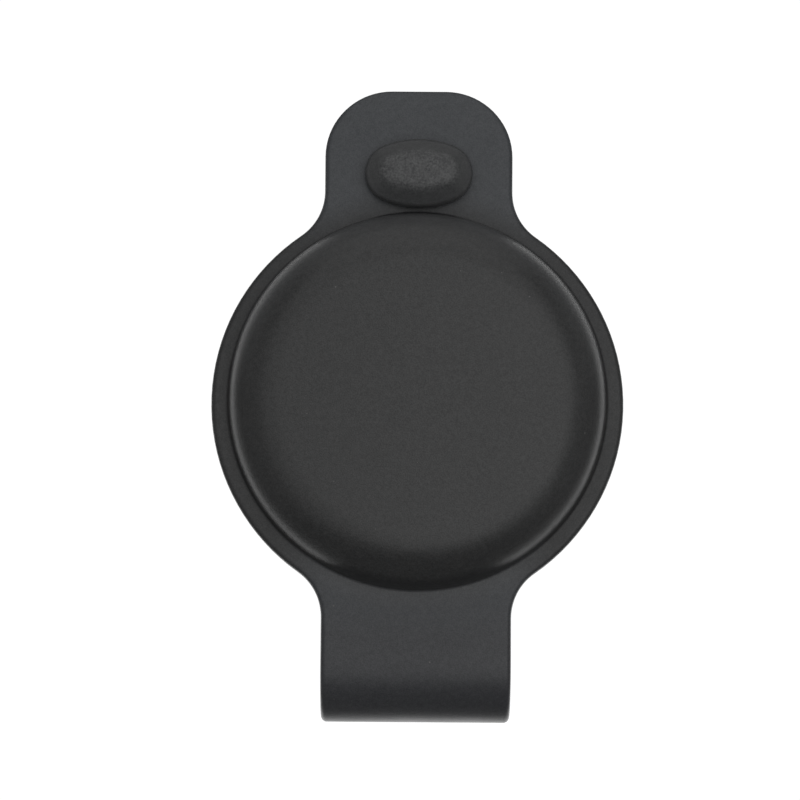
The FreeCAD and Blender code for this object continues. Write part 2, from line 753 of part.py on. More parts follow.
NODES = [
    front_cover, retaining_lip, bottom_fold, rear_strap, closure_button,
    tag_shell, tag_base, battery_cover, cover_liner, cover_seal, cover_pad,
    cell_can, cell_gasket, cell_cap, cell_core,
    circuit_board, radio_shield, radio_chip, sensor_chip, board_crystal, board_capacitors, antenna_loop,
    centre_contact, side_contacts, sounder_plate, sounder_ceramic, sounder_pins,
]

doc.recompute()
for item in doc.Objects:
    if "Invalid" in item.State or "Error" in item.State:
        raise RuntimeError("%s did not build: %s" % (item.Label, item.State))
for node in NODES:
    if node.Shape.isNull() or not node.Shape.isValid() or not node.Shape.Solids:
        raise RuntimeError("%s has no valid solid" % node.Label)

os.makedirs("parts", exist_ok=True)
for node in NODES:
    box = node.Shape.optimalBoundingBox(False)
    node.Shape.exportStep("parts/%s.step" % node.Label)
    print("%-16s solids %2d volume %8.2f  x %6.2f %6.2f  y %6.2f %6.2f  z %6.2f %6.2f" % (
        node.Label, len(node.Shape.Solids), node.Shape.Volume,
        box.XMin, box.XMax, box.YMin, box.YMax, box.ZMin, box.ZMax))
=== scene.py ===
import math

import bpy
from mathutils import Matrix, Vector


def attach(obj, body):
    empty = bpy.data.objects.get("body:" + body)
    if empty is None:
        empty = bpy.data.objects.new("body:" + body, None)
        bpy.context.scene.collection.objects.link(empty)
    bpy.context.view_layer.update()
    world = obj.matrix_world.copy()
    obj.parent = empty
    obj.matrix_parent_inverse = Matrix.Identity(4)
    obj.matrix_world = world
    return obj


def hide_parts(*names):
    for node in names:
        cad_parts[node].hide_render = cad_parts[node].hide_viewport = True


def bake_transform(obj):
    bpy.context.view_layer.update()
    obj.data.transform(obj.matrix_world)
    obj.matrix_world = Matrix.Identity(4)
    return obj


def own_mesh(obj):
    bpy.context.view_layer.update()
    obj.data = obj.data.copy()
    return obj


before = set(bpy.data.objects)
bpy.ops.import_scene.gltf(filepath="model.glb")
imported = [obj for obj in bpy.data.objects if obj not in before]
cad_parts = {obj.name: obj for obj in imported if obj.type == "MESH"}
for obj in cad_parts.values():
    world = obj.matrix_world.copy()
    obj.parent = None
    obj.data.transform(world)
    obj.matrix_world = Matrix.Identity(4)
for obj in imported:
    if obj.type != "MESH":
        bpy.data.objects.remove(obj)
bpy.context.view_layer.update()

print("frame loaded:", len(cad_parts), "CAD nodes")

# Pieces are drawn in millimetres about the tag's axis, and brought to metres when they are finished.
millimetre = 0.001
perMetre = 1 / millimetre
xAxis, zAxis = (1, 0, 0), (0, 0, 1)
sideAxis = (0, -1, 0)  # turns X towards Z
closeBy = 0.002  # vertices nearer than this are one
faceOn = 0.999  # a face lies square to an axis when its normal's share along it is over this
smoothTo = 40  # faces that meet at fewer degrees than this are shaded as one
roundProfile = 0.5  # a bevel that is part of a circle


def objectMode():
    if bpy.context.object and bpy.context.object.mode != "OBJECT":
        bpy.ops.object.mode_set(mode="OBJECT")


def makeActive(*pieces):
    objectMode()
    bpy.ops.object.select_all(action="DESELECT")
    for piece in pieces:
        piece.select_set(True)
    bpy.context.view_layer.objects.active = pieces[0]


def spinRound(centre, axis, degrees, steps):
    # Spin turns against the right-hand rule
    bpy.ops.mesh.spin(steps=steps, angle=-math.radians(degrees), center=centre, axis=axis)


def goTo(*place):
    return {"to": Vector(place)}


def goRound(centre, axis, turn, steps):
    return {"about": Vector(centre), "axis": axis, "turn": turn, "steps": steps}


def drawLine(name, start, moves):
    # A plane merged to one vertex is the pen, which draws edges to points and round centres
    objectMode()
    bpy.ops.object.select_all(action="DESELECT")
    bpy.ops.mesh.primitive_plane_add(size=1.0)
    piece = bpy.context.object
    piece.name = piece.data.name = name
    bpy.ops.object.mode_set(mode="EDIT")
    bpy.ops.mesh.select_mode(type="VERT")
    bpy.ops.mesh.select_all(action="SELECT")
    bpy.ops.mesh.merge(type="CENTER")
    bpy.ops.transform.translate(value=start)
    pen = Vector(start)
    for move in moves:
        if "to" in move:
            bpy.ops.mesh.extrude_vertices_move(TRANSFORM_OT_translate={"value": move["to"] - pen})
            pen = move["to"]
        else:
            spinRound(move["about"], move["axis"], move["turn"], move["steps"])
            turned = Matrix.Rotation(math.radians(move["turn"]), 3, move["axis"]) @ (pen - move["about"])
            pen = move["about"] + turned
    bpy.ops.mesh.select_all(action="SELECT")
    return piece


def mergeDoubles():
    bpy.ops.mesh.select_all(action="SELECT")
    bpy.ops.mesh.remove_doubles(threshold=closeBy)


def closeAndRaise(step):
    mergeDoubles()
    bpy.ops.mesh.edge_face_add()
    bpy.ops.mesh.extrude_region_move(TRANSFORM_OT_translate={"value": step})


def faceOutwards():
    bpy.ops.mesh.select_all(action="SELECT")
    bpy.ops.mesh.normals_make_consistent(inside=False)


def pickNone(mesh):
    for group in (mesh.vertices, mesh.edges, mesh.polygons):
        group.foreach_set("select", [False] * len(group))


def pickEdges(piece, test):
    # test reads an edge's two ends and the normals of its faces
    objectMode()
    mesh = piece.data
    normals = {}
    for face in mesh.polygons:
        for key in face.edge_keys:
            normals.setdefault(key, []).append(face.normal)
    pickNone(mesh)
    for edge in mesh.edges:
        ends = [mesh.vertices[index].co for index in edge.vertices]
        edge.select = bool(test(ends, normals.get(edge.key, [])))
    bpy.context.tool_settings.mesh_select_mode = (False, True, False)
    bpy.ops.object.mode_set(mode="EDIT")


def pickFaces(piece, test):
    # test reads a face's middle and normal
    objectMode()
    mesh = piece.data
    pickNone(mesh)
    for face in mesh.polygons:
        face.select = bool(test(face.center, face.normal))
    bpy.context.tool_settings.mesh_select_mode = (False, False, True)
    bpy.ops.object.mode_set(mode="EDIT")


def roundPicked(radius, steps):
    bpy.ops.mesh.bevel(
        offset=radius, segments=steps, profile=roundProfile, affect="EDGES", clamp_overlap=False)


def fillLevel(piece, level):
    # Closes the open rims in one level, and leaves the holes between them open
    def onOpenRim(ends, normals):
        return len(normals) == 1 and all(abs(end.z - level) < closeBy for end in ends)

    pickEdges(piece, onOpenRim)
    bpy.ops.mesh.fill(use_beauty=True)


def applyModifier(piece, kind, **settings):
    makeActive(piece)
    modifier = piece.modifiers.new(kind.lower(), kind)
    for name, value in settings.items():
        setattr(modifier, name, value)
    bpy.ops.object.modifier_apply(modifier=modifier.name)


def joinPieces(*pieces):
    makeActive(*pieces)
    bpy.ops.object.join()
    bpy.ops.object.mode_set(mode="EDIT")
    mergeDoubles()


def turnProfile(name, start, moves, steps):
    piece = drawLine(name, start, moves)
    spinRound((0, 0, 0), zAxis, 360, steps)
    mergeDoubles()
    return piece


def finishPiece(piece):
    # Faces outwards, soft shading with flat faces kept flat, and millimetres to metres
    makeActive(piece)
    bpy.ops.object.mode_set(mode="EDIT")
    mergeDoubles()
    faceOutwards()
    bpy.ops.object.mode_set(mode="OBJECT")
    piece.scale = (millimetre,) * 3
    bpy.ops.object.transform_apply(location=False, rotation=False, scale=True)
    bpy.ops.object.shade_smooth_by_angle(angle=math.radians(smoothTo))
    applyModifier(piece, "WEIGHTED_NORMAL", keep_sharp=True)
    uses = {}
    for face in piece.data.polygons:
        for key in face.edge_keys:
            uses[key] = uses.get(key, 0) + 1
    openEdges = sum(count != 2 for count in uses.values())
    print(piece.name, "has", len(piece.data.polygons), "faces and", openEdges, "open edges")


# Front cover: the sheet with its two tabs, the dome, the bore for the tag and the button's slot
cover = {
    "sheetBack": 9.4, "sheetFront": 11.4, "frontEdge": 0.55, "backEdge": 0.25,
    "flangeRadius": 19.64, "flangeMiddle": -0.45,
    "topHalf": 9.0, "topRun": 3.43, "topCorner": 6.4, "topNeck": 5.25,
    "tailHalf": 9.0, "tailRun": 4.06, "tailNeck": 5.25,
    "domeEdge": 5.4, "edgeAcross": 12.6316, "edgeUp": 11.2684, "crownTurn": 3.0, "footRound": 0.3,
    "domeShift": -0.26,
    "boreRadius": 16.05, "boreTop": 15.8, "boreFlat": 11.45, "boreShoulder": 11.2,
    "slotPlace": 21.45, "slotReach": 1.6, "slotRadius": 1.65,
    "edgeSteps": 5, "cornerSteps": 18, "neckSteps": 16,
    "flangeSteps": 35, "domeSteps": 28, "roundSteps": 192,
}


def neckPlace(half, radius):
    # The neck's arc touches the tab's side and the round flange
    across = half + radius
    along = math.sqrt((cover["flangeRadius"] + radius) ** 2 - across ** 2)
    return across, along, math.degrees(math.atan2(along, across))


topAcross, topAlong, topTurn = neckPlace(cover["topHalf"], cover["topNeck"])
tailAcross, tailAlong, tailTurn = neckPlace(cover["tailHalf"], cover["tailNeck"])
topNeckUp, tailNeckUp = cover["flangeMiddle"] + topAlong, cover["flangeMiddle"] - tailAlong
topReach = topNeckUp + cover["topRun"] + cover["topCorner"]
foldLine = tailNeckUp - cover["tailRun"]  # where the sheet starts to bend


def stadium(reach, radius, level):
    low, high = cover["slotPlace"] - radius, cover["slotPlace"] + radius
    return (-reach, low, level), [
        goTo(reach, low, level),
        goRound((reach, cover["slotPlace"], level), zAxis, 180, cover["neckSteps"]),
        goTo(-reach, high, level),
        goRound((-reach, cover["slotPlace"], level), zAxis, 180, cover["neckSteps"]),
    ]


def makeCover():
    back, front = cover["sheetBack"], cover["sheetFront"]
    inset = cover["topHalf"] - cover["topCorner"]
    sheet = drawLine("podCover", (0, topReach, back), [
        goTo(inset, topReach, back),
        goRound((inset, topReach - cover["topCorner"], back), zAxis, -90, cover["cornerSteps"]),
        goTo(cover["topHalf"], topNeckUp, back),
        goRound((topAcross, topNeckUp, back), zAxis, topTurn, cover["neckSteps"]),
        goRound((0, cover["flangeMiddle"], back), zAxis, -topTurn - tailTurn, cover["flangeSteps"]),
        goRound((tailAcross, tailNeckUp, back), zAxis, tailTurn, cover["neckSteps"]),
        goTo(cover["tailHalf"], foldLine, back),
        goTo(0, foldLine, back),
    ])
    applyModifier(sheet, "MIRROR", merge_threshold=closeBy)
    bpy.ops.object.mode_set(mode="EDIT")
    closeAndRaise((0, 0, front - back))

    def rimAt(level):
        def onRim(ends, normals):
            inJoint = all(end.y < foldLine + closeBy for end in ends)
            return not inJoint and all(abs(end.z - level) < closeBy for end in ends)
        return onRim

    pickEdges(sheet, rimAt(front))
    roundPicked(cover["frontEdge"], cover["edgeSteps"])
    pickEdges(sheet, rimAt(back))
    roundPicked(cover["backEdge"], cover["edgeSteps"])
    pickFaces(sheet, lambda middle, normal: abs(normal.z) > faceOn)
    bpy.ops.mesh.delete(type="ONLY_FACE")

    # The dome rises from a small hollow round at its foot, goes over its edge and ends in a slight crown
    centre = (cover["edgeAcross"], 0, cover["edgeUp"])
    footUp = front + cover["footRound"]
    footReach = math.sqrt((cover["domeEdge"] + cover["footRound"]) ** 2 - (footUp - cover["edgeUp"]) ** 2)
    footAcross = cover["edgeAcross"] + footReach
    base = math.degrees(math.atan2(footUp - cover["edgeUp"], footReach))
    crown = math.radians(cover["crownTurn"])
    crownRadius = cover["edgeAcross"] / math.sin(crown) + cover["domeEdge"]
    crownUp = cover["edgeUp"] + cover["domeEdge"] * math.cos(crown) - crownRadius * math.cos(crown)
    dome = turnProfile("dome", (footAcross, 0, front), [
        goRound((footAcross, 0, footUp), sideAxis, base - 90, cover["edgeSteps"]),
        goRound(centre, sideAxis, 90 - cover["crownTurn"] - base, cover["domeSteps"]),
        goRound((0, 0, crownUp), sideAxis, cover["crownTurn"], cover["neckSteps"]),
    ], cover["roundSteps"])
    bpy.ops.transform.translate(value=(0, cover["domeShift"], 0))  # a little towards the tail
    bore = turnProfile("bore", (0, 0, cover["boreTop"]), [
        goTo(cover["boreFlat"], 0, cover["boreTop"]),
        goRound((cover["boreFlat"], 0, cover["boreShoulder"]), sideAxis, -90, cover["cornerSteps"]),
        goTo(cover["boreRadius"], 0, back),
    ], cover["roundSteps"])
    slotStart, slotMoves = stadium(cover["slotReach"], cover["slotRadius"], back)
    slot = drawLine("slot", slotStart, slotMoves)
    mergeDoubles()
    bpy.ops.mesh.extrude_region_move(TRANSFORM_OT_translate={"value": (0, 0, front - back)})
    joinPieces(sheet, dome, bore, slot)
    fillLevel(sheet, front)
    fillLevel(sheet, back)
    return sheet


podCover = makeCover()

# Bend: the sheet's end face is spun on round the fold, in two halves
fold = {"up": 5.7, "turn": 90, "steps": 40, "middle": 4.7, "blend": 2.6}


def spinOn(piece, name, isEnd):
    pickFaces(piece, isEnd)
    bpy.ops.mesh.duplicate()
    bpy.ops.mesh.separate(type="SELECTED")
    objectMode()
    bend = [other for other in bpy.context.selected_objects if other is not piece][0]
    bend.name = bend.data.name = name
    makeActive(bend)
    bpy.ops.object.mode_set(mode="EDIT")
    bpy.ops.mesh.select_all(action="SELECT")
    spinRound((0, foldLine, fold["up"]), xAxis, fold["turn"], fold["steps"])
    return bend


def atSheetEnd(middle, normal):
    return middle.y < foldLine + closeBy and abs(normal.y) > faceOn


def atHalfBend(middle, normal):
    return abs(middle.z - fold["up"]) < closeBy and abs(normal.z) > faceOn


foldFront = spinOn(podCover, "foldFront", atSheetEnd)
foldBack = spinOn(foldFront, "foldBack", atHalfBend)

# Rear strap: its side view drawn across, cut to its plan by an intersection, then rounded at its rims
strap = {
    "thick": 2.0, "bendStart": 12.988, "lowBend": 5.0, "rampTurn": 70, "rampRun": 2.6542,
    "highBendAt": 20.4738, "highBendUp": 5.1, "padFront": 9.1, "padBack": 7.1,
    "endHalf": 8.58, "end": 29.187, "endCorner": 5.8, "spare": 1.0, "bendSteps": 16,
    "wallRise": 0.01, "skinRise": 0.1,  # how far a wall's normal rises at most, and a skin's at least
}


def makeStrap():
    side = -cover["tailHalf"] - strap["spare"]
    far = strap["end"] + strap["spare"]
    lowCentre = (side, strap["bendStart"], strap["lowBend"])
    highCentre = (side, strap["highBendAt"], strap["highBendUp"])
    rise = math.radians(strap["rampTurn"])
    ramp = Vector((0, math.cos(rise), math.sin(rise)))
    across = Vector((0, -ramp.z, ramp.y))
    foot = Vector(lowCentre) - across * strap["lowBend"]
    head = foot + ramp * strap["rampRun"]
    inside = across * strap["thick"]
    band = drawLine("strapBand", (side, foldLine, 0), [
        goTo(side, strap["bendStart"], 0),
        goRound(lowCentre, xAxis, strap["rampTurn"], strap["bendSteps"]),
        goTo(*head),
        goRound(highCentre, xAxis, -strap["rampTurn"], strap["bendSteps"]),
        goTo(side, far, strap["padBack"]),
        goTo(side, far, strap["padFront"]),
        goTo(side, strap["highBendAt"], strap["padFront"]),
        goRound(highCentre, xAxis, strap["rampTurn"], strap["bendSteps"]),
        goTo(*(foot + inside)),
        goRound(lowCentre, xAxis, -strap["rampTurn"], strap["bendSteps"]),
        goTo(side, foldLine, strap["thick"]),
    ])
    closeAndRaise((-2 * side, 0, 0))

    narrowing = (cover["tailHalf"] - strap["endHalf"]) / (strap["highBendAt"] - foldLine)
    start, under = foldLine - strap["spare"], -strap["spare"]
    corner = (strap["endHalf"] - strap["endCorner"], strap["end"] - strap["endCorner"], under)
    plan = drawLine("plan", (0, start, under), [
        goTo(cover["tailHalf"] + narrowing * strap["spare"], start, under),
        goTo(strap["endHalf"], strap["highBendAt"], under),
        goTo(strap["endHalf"], corner[1], under),
        goRound(corner, zAxis, 90, cover["cornerSteps"]),
        goTo(0, strap["end"], under),
    ])
    applyModifier(plan, "MIRROR", merge_threshold=closeBy)
    bpy.ops.object.mode_set(mode="EDIT")
    closeAndRaise((0, 0, strap["padFront"] + 2 * strap["spare"]))
    faceOutwards()
    makeActive(band)
    bpy.ops.object.mode_set(mode="EDIT")
    faceOutwards()
    applyModifier(band, "BOOLEAN", operation="INTERSECT", object=plan, solver="EXACT")
    bpy.data.objects.remove(plan)

    def rimFacing(way):
        def onRim(ends, normals):
            inJoint = all(end.y < foldLine + closeBy for end in ends)
            walls = [normal for normal in normals if abs(normal.z) < strap["wallRise"]]
            skins = [normal for normal in normals if normal.z * way > strap["skinRise"]]
            return not inJoint and walls and skins
        return onRim

    pickEdges(band, rimFacing(-1))
    roundPicked(cover["frontEdge"], cover["edgeSteps"])
    pickEdges(band, rimFacing(1))
    roundPicked(cover["backEdge"], cover["edgeSteps"])
    return band


strapBand = makeStrap()

# Button: an oval head of four arcs with a ledge and a slope up to its top, on a neck in the slot
button = {
    "headHalf": 5.15, "headHalfWidth": 3.3, "endRadius": 2.85, "headShift": 0.12, "base": 11.65,
    "rim": 0.9, "ledge": 0.5, "ledgeRise": 0.42, "slope": 1.2, "slopeRise": 1.18,
    "rimRound": 0.35, "ledgeRound": 0.25, "topRound": 0.65, "underRound": 0.3,
    "neckReach": 1.6, "neckRadius": 1.4, "foot": 9.1, "endSteps": 24, "sideSteps": 24,
}


def makeButton():
    endAcross = button["headHalf"] - button["endRadius"]
    half, end = button["headHalfWidth"], button["endRadius"]
    sideRadius = (endAcross ** 2 + half ** 2 - end ** 2) / (2 * (half - end))
    drop = sideRadius - half
    tipTurn = math.atan2(drop, endAcross)
    tip = math.degrees(tipTurn)
    middle, base = cover["slotPlace"] + button["headShift"], button["base"]
    start = (endAcross + end * math.cos(tipTurn), middle - end * math.sin(tipTurn), base)
    head = drawLine("buttonStud", start, [
        goRound((endAcross, middle, base), zAxis, 2 * tip, button["endSteps"]),
        goRound((0, middle - drop, base), zAxis, 180 - 2 * tip, button["sideSteps"]),
        goRound((-endAcross, middle, base), zAxis, 2 * tip, button["endSteps"]),
        goRound((0, middle + drop, base), zAxis, 180 - 2 * tip, button["sideSteps"]),
    ])
    closeAndRaise((0, 0, button["rim"]))
    faceOutwards()
    rimUp = base + button["rim"]
    ledgeUp = rimUp + button["ledgeRise"]
    pickFaces(head, lambda place, normal: place.z > rimUp - closeBy)
    bpy.ops.mesh.inset(thickness=button["ledge"], depth=button["ledgeRise"])
    bpy.ops.mesh.inset(thickness=button["slope"], depth=button["slopeRise"])
    for level, radius in (
        (ledgeUp + button["slopeRise"], button["topRound"]),
        (ledgeUp, button["ledgeRound"]),
        (rimUp, button["rimRound"]),
        (base, button["underRound"]),
    ):
        pickEdges(head, lambda ends, normals: all(abs(point.z - level) < closeBy for point in ends))
        roundPicked(radius, cover["edgeSteps"])
    pickFaces(head, lambda place, normal: abs(normal.z) > faceOn and place.z < base + closeBy)
    bpy.ops.mesh.delete(type="ONLY_FACE")
    neckStart, neckMoves = stadium(button["neckReach"], button["neckRadius"], button["foot"])
    neck = drawLine("neck", neckStart, neckMoves)
    mergeDoubles()
    bpy.ops.mesh.extrude_region_move(TRANSFORM_OT_translate={"value": (0, 0, base - button["foot"])})
    joinPieces(head, neck)
    fillLevel(head, base)
    fillLevel(head, button["foot"])
    return head


buttonStud = makeButton()

# Lip: the ring behind the sheet that holds the tag in, with a soft mouth
lip = {
    "across": 12.75, "up": 10.9, "inner": 3.3, "outer": 4.5, "mouth": 13.35, "mouthRound": 0.5,
    "arcSteps": 18, "roundSteps": 160,
}


def makeLip():
    def place(radius, turn):
        angle = math.radians(turn)
        return lip["across"] + radius * math.cos(angle), 0, lip["up"] + radius * math.sin(angle)

    def turnAtTop(radius):
        return -math.degrees(math.asin((lip["up"] - cover["sheetBack"]) / radius))

    def turnAtMouth(radius):
        return -math.degrees(math.acos((lip["mouth"] - lip["across"]) / radius))

    inTop, inMouth = turnAtTop(lip["inner"]), turnAtMouth(lip["inner"])
    outTop, outMouth = turnAtTop(lip["outer"]), turnAtMouth(lip["outer"])
    centre = (lip["across"], 0, lip["up"])
    start = place(lip["inner"], inTop)
    ring = turnProfile("lipRing", start, [
        goRound(centre, sideAxis, inMouth - inTop, lip["arcSteps"]),
        goTo(*place(lip["outer"], outMouth)),
        goRound(centre, sideAxis, outTop - outMouth, lip["arcSteps"]),
        goTo(*start),
    ], lip["roundSteps"])
    levels = [place(lip["inner"], inMouth)[2], place(lip["outer"], outMouth)[2]]

    def onMouth(ends, normals):
        narrow = all(end.xy.length < lip["mouth"] + closeBy for end in ends)
        return narrow and any(all(abs(end.z - level) < closeBy for end in ends) for level in levels)

    pickEdges(ring, onMouth)
    roundPicked(lip["mouthRound"], cover["edgeSteps"])
    return ring


lipRing = makeLip()

# Battery cover: a spun steel plate with a rolled edge and a shallow inner field
plate = {
    "radius": 12.4, "outside": 7.7, "inside": 8.2, "edge": 0.2,
    "border": 11.35, "field": 11.2, "fieldUp": 7.78, "edgeSteps": 6, "roundSteps": 160,
}


def makePlate():
    edgeUp = plate["outside"] + plate["edge"]
    return turnProfile("steelCover", (0, 0, plate["inside"]), [
        goTo(plate["radius"], 0, plate["inside"]),
        goTo(plate["radius"], 0, edgeUp),
        goRound((plate["radius"] - plate["edge"], 0, edgeUp), sideAxis, -90, plate["edgeSteps"]),
        goTo(plate["border"], 0, plate["outside"]),
        goTo(plate["field"], 0, plate["fieldUp"]),
        goTo(0, 0, plate["fieldUp"]),
    ], plate["roundSteps"])


steelCover = makePlate()

for piece in (podCover, foldFront, foldBack, strapBand, buttonStud, lipRing, steelCover):
    finishPiece(piece)
print("pieces modelled")

for piece, body, node, slot in (
    (podCover, "holder", "front_cover", "silicone"),
    (lipRing, "holder", "retaining_lip", "silicone"),
    (strapBand, "strap", "rear_strap", "silicone"),
    (buttonStud, "strap", "closure_button", "silicone"),
    (steelCover, "cover", "battery_cover", "cover_steel"),
):
    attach(piece, body)
    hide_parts(node)
for piece in (foldFront, foldBack):
    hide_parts("bottom_fold")


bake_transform(foldFront)
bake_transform(foldBack)
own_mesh(lipRing)
print("pieces riding on their bodies")


def addNode(tree, kind, values=None, **settings):
    node = tree.nodes.new(kind)
    for name, value in settings.items():
        setattr(node, name, value)
    for name, value in (values or {}).items():
        node.inputs[name].default_value = value
    return node


def combine(tree, operation, first, second):
    # One sum of two sockets, or of a socket and a number
    node = addNode(tree, "ShaderNodeMath", operation=operation)
    for socket, value in zip(node.inputs, (first, second)):
        if isinstance(value, float):
            socket.default_value = value
        else:
            tree.links.new(value, socket)
    return node.outputs[0]


def reachFromAxis(tree, coords):
    flat = addNode(tree, "ShaderNodeVectorMath", {1: (1.0, 1.0, 0.0)}, operation="MULTIPLY")
    reach = addNode(tree, "ShaderNodeVectorMath", operation="LENGTH")
    tree.links.new(coords, flat.inputs[0])
    tree.links.new(flat.outputs[0], reach.inputs[0])
    return reach.outputs["Value"]


def newGroup(name, inputs, outputs):
    # Every socket is a number, except the place that the pattern is read at
    group = bpy.data.node_groups.new(name, "ShaderNodeTree")
    group.interface.new_socket("Vector", in_out="INPUT", socket_type="NodeSocketVector")
    for socket in inputs:
        group.interface.new_socket(socket, in_out="INPUT", socket_type="NodeSocketFloat")
    for socket in outputs:
        group.interface.new_socket(socket, in_out="OUTPUT", socket_type="NodeSocketFloat")
    given, result = group.nodes.new("NodeGroupInput"), group.nodes.new("NodeGroupOutput")
    return group, given.outputs, result.inputs


# Moulded grain: fine blasted pits on slow waves, and a slow tone that clouds the colour
grain = {
    "fine": {"Detail": 2.0, "Roughness": 0.6}, "wave": {"Detail": 2.0, "Roughness": 0.5},
    "cloud": {"Detail": 3.0, "Roughness": 0.55}, "waveShare": 0.28, "waveMix": 0.3,
}


def makeGrainGroup():
    group, given, result = newGroup("mouldGrain", ["Grain", "Cloud"], ["Height", "Tone"])
    link = group.links.new
    fineScale = combine(group, "DIVIDE", perMetre, given["Grain"])
    cloudScale = combine(group, "DIVIDE", perMetre, given["Cloud"])
    waveScale = combine(group, "MULTIPLY", fineScale, grain["waveShare"])
    noises = {}
    for name, scale in (("fine", fineScale), ("wave", waveScale), ("cloud", cloudScale)):
        noises[name] = addNode(group, "ShaderNodeTexNoise", grain[name])
        link(given["Vector"], noises[name].inputs["Vector"])
        link(scale, noises[name].inputs["Scale"])
    height = addNode(group, "ShaderNodeMix", {"Factor": grain["waveMix"]})
    link(noises["fine"].outputs["Fac"], height.inputs[2])
    link(noises["wave"].outputs["Fac"], height.inputs[3])
    link(height.outputs[0], result["Height"])
    link(noises["cloud"].outputs["Fac"], result["Tone"])
    return group


def makeDustGroup():
    # A few pale specks, each in its own cell
    group, given, result = newGroup("dustSpecks", ["Spacing", "Share", "Size"], ["Mask"])
    link = group.links.new
    cells = addNode(group, "ShaderNodeTexVoronoi")
    parts = addNode(group, "ShaderNodeSeparateColor")
    link(given["Vector"], cells.inputs["Vector"])
    link(combine(group, "DIVIDE", perMetre, given["Spacing"]), cells.inputs["Scale"])
    link(cells.outputs["Color"], parts.inputs["Color"])
    chosen = combine(group, "LESS_THAN", parts.outputs["Red"], given["Share"])
    near = combine(group, "LESS_THAN", cells.outputs["Distance"], given["Size"])
    link(combine(group, "MULTIPLY", chosen, near), result["Mask"])
    return group


# Spun rings: fine ones about the Z axis, as a lathe or a spun sheet leaves, and a slow tone
spun = {"rings": {"Detail": 3.0, "Roughness": 0.65}, "slow": {"Scale": 260.0, "Detail": 3.0}}


def makeRingGroup():
    group, given, result = newGroup("spunRings", ["Pitch"], ["Height", "Tone"])
    link = group.links.new
    rings = addNode(group, "ShaderNodeTexNoise", spun["rings"], noise_dimensions="1D")
    slow = addNode(group, "ShaderNodeTexNoise", spun["slow"])
    link(reachFromAxis(group, given["Vector"]), rings.inputs["W"])
    link(combine(group, "DIVIDE", perMetre, given["Pitch"]), rings.inputs["Scale"])
    link(given["Vector"], slow.inputs["Vector"])
    link(rings.outputs["Fac"], result["Height"])
    link(slow.outputs["Fac"], result["Tone"])
    return group


grainGroup, dustGroup, ringGroup = makeGrainGroup(), makeDustGroup(), makeRingGroup()


def useGroup(tree, group, coords, **values):
    node = addNode(tree, "ShaderNodeGroup", values, node_tree=group)
    tree.links.new(coords, node.inputs["Vector"])
    return node


def mixColours(tree, first, second, factor):
    mix = addNode(tree, "ShaderNodeMix", data_type="RGBA")
    for socket, value in ((mix.inputs[6], first), (mix.inputs[7], second)):
        if isinstance(value, tuple):
            socket.default_value = (*value, 1.0)
        else:
            tree.links.new(value, socket)
    tree.links.new(factor, mix.inputs[0])
    return mix.outputs[2]


def mapRange(tree, value, fromLow, fromHigh, toLow, toHigh):
    node = addNode(tree, "ShaderNodeMapRange", {
        "From Min": fromLow, "From Max": fromHigh, "To Min": toLow, "To Max": toHigh})
    tree.links.new(value, node.inputs["Value"])
    return node.outputs["Result"]


def mixValues(tree, first, second, factor):
    mix = addNode(tree, "ShaderNodeMix")
    tree.links.new(factor, mix.inputs[0])
    tree.links.new(first, mix.inputs[2])
    tree.links.new(second, mix.inputs[3])
    return mix.outputs[0]


def newMaterial(name):
    material = bpy.data.materials.new(name)
    material.use_nodes = True
    tree = material.node_tree
    shader = tree.nodes["Principled BSDF"]
    coords = addNode(tree, "ShaderNodeTexCoord").outputs["Object"]
    return material, tree, shader, coords


def dressShader(tree, shader, colour, roughness, height, depth):
    bump = addNode(tree, "ShaderNodeBump", {"Strength": 1.0, "Distance": depth * millimetre})
    tree.links.new(height, bump.inputs["Height"])
    tree.links.new(colour, shader.inputs["Base Color"])
    tree.links.new(roughness, shader.inputs["Roughness"])
    tree.links.new(bump.outputs["Normal"], shader.inputs["Normal"])


# The share of a noise's values that is spread over the whole of a look
fineSpan, toneSpan = (0.35, 0.65), (0.3, 0.7)

